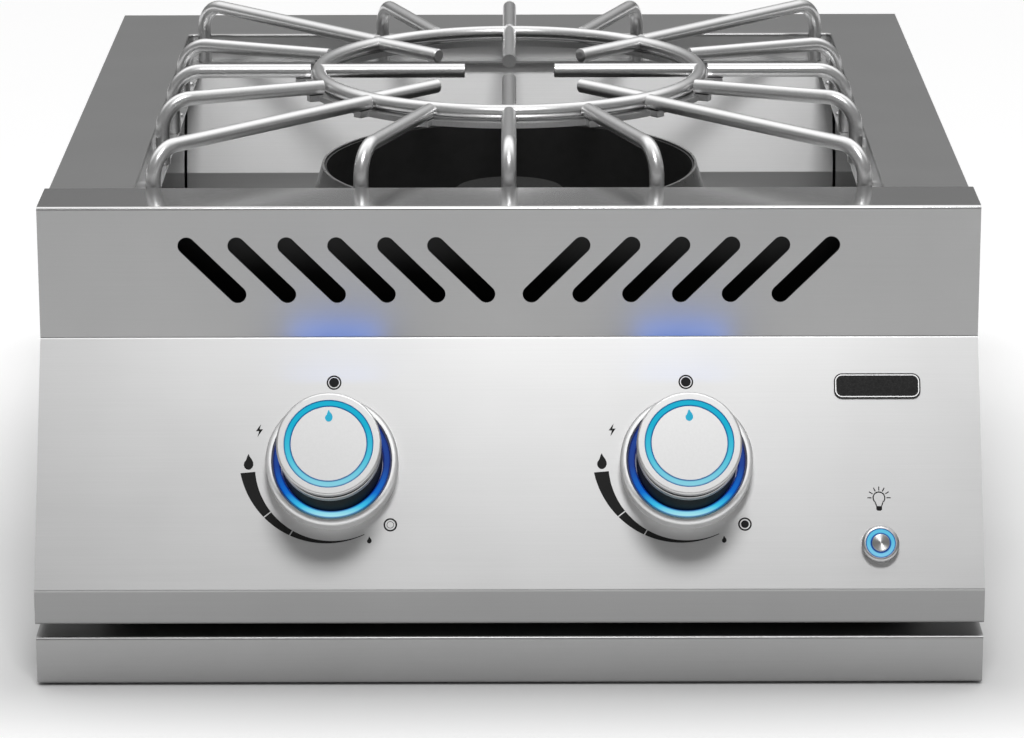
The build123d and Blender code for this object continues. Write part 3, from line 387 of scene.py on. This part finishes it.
RING_COLOURS = [(0.0, (0.25, 0.62, 0.74)), (0.35, (0.06, 0.52, 0.68)), (0.7, (0.004, 0.42, 0.61))]
GLOW_COLOURS = [(0.02, (0.38, 0.76, 0.84)), (0.10, (0.05, 0.54, 0.80)), (0.22, (0.005, 0.15, 0.60)),
                (0.45, (0.010, 0.048, 0.27))]
BUTTON_COLOURS = [(0.0, (0.22, 0.58, 0.80)), (0.6, (0.10, 0.50, 0.73)), (1.0, (0.12, 0.52, 0.74))]
RING_EDGE = (0.10, 0.16, 0.42)
BUTTON_EDGE = (0.06, 0.10, 0.42)

finishes = {
    panel_steel: ["control_panel"],
    fascia_steel: ["front_fascia", "tray_front"],
    deck_steel: ["top_deck"],
    side_steel: ["left_side_panel", "right_side_panel", "tray_runners", "drip_tray"],
    wall_steel: ["back_heat_shield", "rear_posts", "burner_box_floor"],
    shield_steel("shield_steel_painted_shade", 0.70, (0.40, 0.46), SHIELD_FRONT): ["front_heat_shield"],
    cone_steel: ["burner_cone"],
    rod_steel: ["grate_rods", "grate_support", "grate_ring", "ledge_screws"],
    bezel_steel: ["left_bezel", "right_bezel"],
    button_steel: ["button_bezel"],
    face_steel: ["left_knob_face", "right_knob_face"],
    zinc_steel: ["base_pan", "back_panel", "back_panel_screws", "gas_manifold", "outer_venturi",
                 "inner_venturi", "outer_air_shutter", "inner_air_shutter"],
    spring_steel: ["left_return_spring", "right_return_spring", "left_thrust_washer", "right_thrust_washer",
                   "igniter_electrodes", "button_nut"],
    brass: ["left_valve_body", "right_valve_body", "left_valve_stem", "right_valve_stem", "gas_inlet_fitting",
            "outer_gas_feed", "inner_gas_feed"],
    pale_pipe: ["gas_supply_pipe"],
    cast_iron: ["inner_burner", "outer_ring_burner"],
    enamel: ["bowl_liner"],
    knob_black: ["left_knob_body", "right_knob_body"],
    badge_black: ["blank_badge"],
    grey_plastic: ["control_module", "power_inlet", "button_switch"],
    ceramic: ["igniter_ceramics"],
    lit_ring("lit_button_ring", BUTTON_ACROSS, BUTTON_DOWN, BUTTON_RING, BUTTON_COLOURS, BUTTON_EDGE):
        ["button_light"],
    turned_metal("turned_button_cap", BUTTON_ACROSS, BUTTON_DOWN, 0.56, 0.35): ["button_cap"],
}
for name, side in (("left", -1), ("right", 1)):
    across = side * KNOB_ACROSS
    face_light = lit_ring(f"{name}_lit_face_ring", across, KNOB_DOWN, FACE_RING, RING_COLOURS, RING_EDGE)
    bezel_light = lit_ring(f"{name}_lit_bezel_ring", across, KNOB_DOWN, BEZEL_RING, GLOW_COLOURS, RING_EDGE)
    finishes[face_light] = [f"{name}_knob_light"]
    finishes[bezel_light] = [f"{name}_bezel_light"]
for finish, names in finishes.items():
    for name in names:
        mesh = frame["nodes"][name].data
        mesh.materials.clear()
        mesh.materials.append(finish)

pointer_blue, tree, bsdf = shader("lit_pointer")
speckle = grain(tree, FINE)
pointer_tint = tint(tree, speckle, between((0.02, 0.38, 0.58), (0.03, 0.44, 0.64)))
tree.links.new(pointer_tint, bsdf.inputs["Emission Color"])
bsdf.inputs["Emission Strength"].default_value = 1.0
bsdf.inputs["Base Color"].default_value = (0.004, 0.006, 0.010, 1.0)
bsdf.inputs["Specular IOR Level"].default_value = 0.1


# Pieces on the control panel

def finish_piece(bm, name, place, finish, body):
    """Turn a bmesh in millimetres into a placed piece that rides on a body."""
    bmesh.ops.remove_doubles(bm, verts=bm.verts, dist=0.0005)
    bmesh.ops.recalc_face_normals(bm, faces=bm.faces)
    bmesh.ops.transform(bm, matrix=place, verts=bm.verts)
    mesh = bpy.data.meshes.new(name)
    bm.to_mesh(mesh)
    bm.free()
    mesh.materials.append(finish)
    piece = bpy.data.objects.new(name, mesh)
    scene.collection.objects.link(piece)
    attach(piece, body)
    return piece


def thicken(bm, thickness):
    """Give flat faces a thickness, upwards."""
    made = bmesh.ops.extrude_face_region(bm, geom=bm.faces[:], use_keep_orig=True)
    raised = [item for item in made["geom"] if isinstance(item, bmesh.types.BMVert)]
    bmesh.ops.translate(bm, vec=(0, 0, thickness), verts=raised)


def add_disc(bm, x, y, radius, segments=32):
    """Filled circle."""
    place = Matrix.Translation((x, y, 0))
    bmesh.ops.create_circle(bm, cap_ends=True, radius=radius, segments=segments, matrix=place)


def add_arc(bm, x, y, outer, inner, start, end, steps):
    """Part of a flat ring between two angles in degrees, with the vertices it made."""
    ahead = Vector((cos(radians(start)), sin(radians(start)), 0))
    middle = Vector((x, y, 0))
    first = bm.verts.new(middle + inner * ahead)
    second = bm.verts.new(middle + outer * ahead)
    edge = bm.edges.new((first, second))
    before = len(bm.verts)
    bmesh.ops.spin(
        bm,
        geom=[first, second, edge],
        cent=middle,
        axis=(0, 0, 1),
        angle=radians(end - start),
        steps=steps,
        use_merge=end - start == 360,
    )
    bm.verts.ensure_lookup_table()
    return [first, second] + bm.verts[before:]


def add_outline(bm, points):
    """Filled shape through a few corner points."""
    bm.faces.new([bm.verts.new((x, y, 0)) for x, y in points])


def add_stroke(bm, x0, y0, x1, y1, width):
    """Straight stroke of a given width."""
    along = Vector((x1 - x0, y1 - y0)).normalized()
    side = Vector((-along.y, along.x)) * width / 2
    ends = (Vector((x0, y0)), Vector((x1, y1)))
    add_outline(bm, [ends[0] + side, ends[0] - side, ends[1] - side, ends[1] + side])


FLAME = [
    (0.00, 1.00), (0.16, 0.66), (0.44, 0.30), (0.62, -0.06), (0.64, -0.42), (0.50, -0.74), (0.24, -0.95),
    (0.00, -1.00), (-0.24, -0.95), (-0.50, -0.74), (-0.62, -0.42), (-0.56, -0.08), (-0.36, 0.16),
    (-0.26, 0.40), (-0.18, 0.70),
]
BOLT = [(0.25, 1.00), (-0.55, -0.08), (-0.04, -0.08), (-0.28, -1.00), (0.55, 0.22), (0.04, 0.22)]
BAND_INNER = 37.5
BAND_WIDTH = 7.2
BAND_START = 185.0
BAND_END = 294.5
BAND_PARTS = ((BAND_START, 217.6), (218.4, 239.1), (239.9, BAND_END))
BAND_STEP = 2.0
BAND_TIP = 0.35
BAND_TAPER = 1.5

# Marks round a knob, in millimetres: place and half size of shapes, place of rings, outer and inner radius
BOLT_MARK = (-35.6, 17.2, 3.1, 3.2)
LARGE_FLAME = (-40.7, 1.7, 3.7, 3.95)
SMALL_FLAME = (18.0, -37.0, 1.8, 1.75)
POINTER_FLAME = (0.0, 13.6, 2.9, 2.9)
TOP_PLACE = (0.4, 41.1)
TOP_DOT = 2.4
TOP_RING = (3.6, 2.85)
BURNER_PLACE = (28.1, -29.6)
BURNER_DOT = 1.9
BURNER_RING = (3.3, 2.5)
BURNER_INNER_RING = (1.75, 1.5)
RING_STEPS = 40
INNER_RING_STEPS = 32


def add_shape(bm, points, x, y, wide, tall):
    """Filled shape from unit points, at a place and scale."""
    add_outline(bm, [(x + wide * across, y + tall * up) for across, up in points])


def add_flow_band(bm):
    """Band round the knob that narrows from the large flame to the small one."""
    for start, end in BAND_PARTS:
        steps = round((end - start) / BAND_STEP)
        for vert in add_arc(bm, 0, 0, BAND_INNER + BAND_WIDTH, BAND_INNER, start, end, steps):
            if vert.co.length > BAND_INNER + BAND_WIDTH / 2:
                turned = 360 - degrees(Vector((1, 0)).angle_signed(vert.co.xy))
                share = min(1.0, max(0.0, (turned % 360 - BAND_START) / (BAND_END - BAND_START)))
                width = BAND_TIP + (BAND_WIDTH - BAND_TIP) * (1 - share) ** BAND_TAPER
                vert.co *= (BAND_INNER + width) / vert.co.length


def knob_marks(with_dot):
    """Printed marks round one knob, in millimetres about the knob axis."""
    bm = bmesh.new()
    add_disc(bm, *TOP_PLACE, TOP_DOT)
    add_arc(bm, *TOP_PLACE, *TOP_RING, 0, 360, RING_STEPS)
    add_shape(bm, BOLT, *BOLT_MARK)
    add_shape(bm, FLAME, *LARGE_FLAME)
    add_shape(bm, FLAME, *SMALL_FLAME)
    add_arc(bm, *BURNER_PLACE, *BURNER_RING, 0, 360, RING_STEPS)
    if with_dot:
        add_disc(bm, *BURNER_PLACE, BURNER_DOT)
    else:
        add_arc(bm, *BURNER_PLACE, *BURNER_INNER_RING, 0, 360, INNER_RING_STEPS)
    add_flow_band(bm)
    return bm


def knob_sleeve():
    """Bright band round the barrel of a knob, with eased ends."""
    bm = bmesh.new()
    inner = BARREL_RADIUS
    outer = BARREL_RADIUS + SLEEVE_WALL
    outline = [
        (inner, SLEEVE_LOW),
        (outer, SLEEVE_LOW + SLEEVE_EASE),
        (outer, SLEEVE_HIGH - SLEEVE_EASE),
        (inner, SLEEVE_HIGH),
    ]
    verts = [bm.verts.new((reach, 0, out)) for reach, out in outline]
    edges = [bm.edges.new(pair) for pair in zip(verts, verts[1:] + verts[:1])]
    bmesh.ops.spin(bm, geom=verts + edges, cent=(0, 0, 0), axis=(0, 0, 1), angle=radians(360),
                   steps=SLEEVE_STEPS, use_merge=True)
    for face in bm.faces:
        face.smooth = True
    for edge in bm.edges:
        edge.smooth = edge.calc_face_angle(0) < SLEEVE_CREASE
    return bm


for name, side, with_dot in (("left", -1, False), ("right", 1, True)):
    across = side * KNOB_ACROSS
    marks = knob_marks(with_dot)
    thicken(marks, PRINT_THICKNESS)
    place = on_panel(across, KNOB_DOWN, -PRINT_SINK)
    finish_piece(marks, f"{name}_knob_marks", place, print_black, "casing")

    pointer = bmesh.new()
    add_shape(pointer, FLAME, *POINTER_FLAME)
    thicken(pointer, PRINT_THICKNESS)
    place = on_panel(across, KNOB_DOWN, KNOB_FACE_OUT - PRINT_SINK)
    finish_piece(pointer, f"{name}_knob_pointer", place, pointer_blue, f"{name}_knob")

    place = on_panel(across, KNOB_DOWN, 0)
    finish_piece(knob_sleeve(), f"{name}_knob_sleeve", place, spring_steel, f"{name}_knob")


def pushed_coil(name):
    """Copy of a return spring, hung on the casing in place of the spring itself, which is hidden."""
    joints = frame["record"]["behaviour"]["joints"]
    push = next(joint for joint in joints if joint["name"] == f"{name}_knob_push")
    coil = push["deforming_nodes"][0]
    bm = bmesh.new()
    bm.from_mesh(frame["nodes"][coil["node"]].data)
    bmesh.ops.scale(bm, vec=(1 / MM, 1 / MM, 1 / MM), verts=bm.verts)
    to_metres = Matrix.Scale(MM, 4)
    piece = finish_piece(bm, f"{name}_spring_coil", to_metres, spring_steel, "casing")
    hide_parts(coil["node"])
    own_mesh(piece)


for name in ("left", "right"):
    pushed_coil(name)

# Light mark over the button, in millimetres: glass, neck strokes, rays and cap
BULB_MIDDLE = 1.4
BULB_GLASS = (3.1, 2.55)
BULB_ARC = (-48, 228)
NECK_TOP = (1.9, -0.75)
NECK_FOOT = (1.25, -2.6)
NECK_WIDTH = 0.55
RAY_ANGLES = (0, 32, 62)
RAY_NEAR = 3.6
RAY_FAR = 5.6
RAY_WIDTH = 0.5
BULB_CAP = [(-1.4, -2.7), (1.4, -2.7), (1.4, -4.4), (0.8, -5.0), (-0.8, -5.0), (-1.4, -4.4)]

bulb = bmesh.new()
add_arc(bulb, 0, BULB_MIDDLE, *BULB_GLASS, *BULB_ARC, RING_STEPS)
for flip in (1, -1):
    add_stroke(bulb, flip * NECK_TOP[0], NECK_TOP[1], flip * NECK_FOOT[0], NECK_FOOT[1], NECK_WIDTH)
    for angle in RAY_ANGLES:
        across = cos(radians(angle)) * flip
        up = sin(radians(angle))
        near = (RAY_NEAR * across, BULB_MIDDLE + RAY_NEAR * up)
        far = (RAY_FAR * across, BULB_MIDDLE + RAY_FAR * up)
        add_stroke(bulb, *near, *far, RAY_WIDTH)
add_stroke(bulb, 0, BULB_MIDDLE + RAY_NEAR, 0, BULB_MIDDLE + RAY_FAR, RAY_WIDTH)
add_outline(bulb, BULB_CAP)
thicken(bulb, PRINT_THICKNESS)
finish_piece(bulb, "light_mark", on_panel(BUTTON_ACROSS, BULB_DOWN, -PRINT_SINK), print_black, "casing")

# Thin border on the badge plate, in millimetres
BORDER_HALF = (20.4, 5.65)
BORDER_CORNER = 3.4
BORDER_WIDTH = 0.5
BORDER_THICKNESS = 0.12

border = bmesh.new()
half_wide, half_tall = BORDER_HALF
corner_signs = ((-1, -1), (1, -1), (1, 1), (-1, 1))
add_outline(border, [(half_wide * wide, half_tall * tall) for wide, tall in corner_signs])
bmesh.ops.bevel(border, geom=border.verts[:], offset=BORDER_CORNER, offset_type="OFFSET", affect="VERTICES",
                segments=8, profile=0.5, material=-1)
bmesh.ops.inset_region(border, faces=border.faces[:], thickness=BORDER_WIDTH, depth=0, use_boundary=True,
                       use_even_offset=True)
middle = max(border.faces, key=lambda face: face.calc_area())
bmesh.ops.delete(border, geom=[middle], context="FACES_ONLY")
thicken(border, BORDER_THICKNESS)
finish_piece(border, "badge_border", on_panel(BADGE_ACROSS, BADGE_DOWN, BADGE_OUT - PRINT_SINK), bezel_steel,
             "casing")


# Studio: pale floor under a soft dome, with a key lamp and a small blue lamp over each knob

def seen_directly(tree):
    """One where the camera, a mirror or glass looks, and nought for other light."""
    path = tree.nodes.new("ShaderNodeLightPath")
    seen = join(tree, "ADD", path.outputs["Is Camera Ray"], path.outputs["Is Glossy Ray"])
    return join(tree, "ADD", seen, path.outputs["Is Transmission Ray"])


# The floor gets a white lift away from the object and none near it, so it is darker round the object's foot:
# painted shade on top of its real shadow. The object stands on this half width and half depth
FLOOR_LIFT = 0.38
FLOOR_FADE = 0.10
FOOTPRINT = (0.225, 0.29, 1.0)
FLOOR_SIZE = 6.0
FLOOR_SINK = 0.0002

floor_material, tree, bsdf = shader("pale_studio_floor")
cloudy = grain(tree, (1.5, 1.5, 1.5))
tree.links.new(tint(tree, cloudy, between(grey(0.72), grey(0.74))), bsdf.inputs["Base Color"])
bsdf.inputs["Roughness"].default_value = 0.9
bsdf.inputs["Specular IOR Level"].default_value = 0.0
bsdf.inputs["Emission Color"].default_value = (1.0, 1.0, 1.0, 1.0)
coords = tree.nodes.new("ShaderNodeTexCoord")
outside = coords.outputs["Object"]
distance_steps = (
    ("ABSOLUTE", None),
    ("SUBTRACT", FOOTPRINT),
    ("MAXIMUM", (0.0, 0.0, 0.0)),
    ("LENGTH", None),
)
for operation, value in distance_steps:
    step = tree.nodes.new("ShaderNodeVectorMath")
    step.operation = operation
    tree.links.new(outside, step.inputs[0])
    if value is not None:
        step.inputs[1].default_value = value
    outside = step.outputs["Value" if operation == "LENGTH" else "Vector"]
# Painted shade: no lift near the object, so the floor round its foot stays darker
lift = join(tree, "MULTIPLY", seen_directly(tree), spread(tree, outside, 0.0, FLOOR_LIFT, 0.0, FLOOR_FADE))
tree.links.new(lift, bsdf.inputs["Emission Strength"])

floor_shape = bmesh.new()
bmesh.ops.create_grid(floor_shape, x_segments=1, y_segments=1, size=FLOOR_SIZE)
bmesh.ops.translate(floor_shape, vec=(0, 0, -FLOOR_SINK), verts=floor_shape.verts)
floor_mesh = bpy.data.meshes.new("studio_floor")
floor_shape.to_mesh(floor_mesh)
floor_shape.free()
floor_mesh.materials.append(floor_material)
studio_floor = bpy.data.objects.new("studio_floor", floor_mesh)
scene.collection.objects.link(studio_floor)

# Brightness of the dome's front and back halves by the height of the direction, from level to overhead
FRONT_DOME = [(0.0, grey(0.20)), (0.45, grey(0.25)), (0.70, grey(0.28)), (0.85, grey(0.45)), (1.0, grey(1.0))]
BACK_DOME = [(0.0, grey(0.10)), (0.28, grey(0.23)), (0.50, grey(0.70)), (0.75, grey(1.6)), (1.0, grey(1.3))]
DOME_STRENGTH = 1.0
DOME_BLEND = 0.25

world = bpy.data.worlds.new("studio_dome")
scene.world = world
world.use_nodes = True
tree = world.node_tree
coords = tree.nodes.new("ShaderNodeTexCoord")
parts = tree.nodes.new("ShaderNodeSeparateXYZ")
tree.links.new(coords.outputs["Generated"], parts.inputs["Vector"])
front_half = tint(tree, parts.outputs["Z"], FRONT_DOME)
back_half = tint(tree, parts.outputs["Z"], BACK_DOME)
backward = spread(tree, parts.outputs["Y"], 0.0, 1.0, -DOME_BLEND, DOME_BLEND)
tree.links.new(blend(tree, front_half, back_half, "MIX", backward), tree.nodes["Background"].inputs["Color"])
tree.nodes["Background"].inputs["Strength"].default_value = DOME_STRENGTH


def soft_lamp(name, place, target, size, power, colour=(1.0, 1.0, 1.0)):
    """Soft area lamp aimed at a point."""
    data = bpy.data.lights.new(name, "AREA")
    data.shape = "RECTANGLE"
    data.size, data.size_y = size
    data.energy = power
    data.color = colour
    lamp = bpy.data.objects.new(name, data)
    lamp.location = place
    lamp.rotation_euler = (Vector(target) - Vector(place)).to_track_quat("-Z", "Y").to_euler()
    lamp.visible_camera = False
    scene.collection.objects.link(lamp)


KEY_PLACE = (0.09, -1.36, 2.0)
KEY_TARGET = (0.0, -0.26, 0.1)
KEY_SIZE = (0.5, 0.4)
KEY_POWER = 14.0

# Blue light of the knobs on the front strip: depth and height of each lamp and of the point it is aimed at
GLOW_FROM = (-0.262, 0.151)
GLOW_TO = (-0.2314, 0.192)
GLOW_SIZE = (0.045, 0.012)
GLOW_POWER = 0.004
GLOW_BLUE = (0.02, 0.22, 1.0)

soft_lamp("key_lamp", KEY_PLACE, KEY_TARGET, KEY_SIZE, KEY_POWER)
for name, side in (("left_glow", -1), ("right_glow", 1)):
    across = side * KNOB_ACROSS * MM
    soft_lamp(name, (across, *GLOW_FROM), (across, *GLOW_TO), GLOW_SIZE, GLOW_POWER, GLOW_BLUE)


# Camera

def fitted_camera():
    """Camera with the fitted place, turn and lens."""
    data = bpy.data.cameras.new("photo_camera")
    data.lens = CAMERA_LENS
    data.sensor_width = SENSOR_WIDTH
    data.clip_start = CLIP_START
    camera = bpy.data.objects.new("photo_camera", data)
    right = Vector((cos(CAMERA_YAW), -sin(CAMERA_YAW), 0))
    level = cos(CAMERA_PITCH)
    ahead = Vector((sin(CAMERA_YAW) * level, cos(CAMERA_YAW) * level, -sin(CAMERA_PITCH)))
    up = right.cross(ahead)
    turned_right = right * cos(CAMERA_ROLL) + up * sin(CAMERA_ROLL)
    turned_up = up * cos(CAMERA_ROLL) - right * sin(CAMERA_ROLL)
    axes = Matrix((turned_right, turned_up, -ahead)).transposed()
    camera.matrix_world = Matrix.Translation(CAMERA_PLACE) @ axes.to_4x4()
    scene.collection.objects.link(camera)
    scene.camera = camera


fitted_camera()
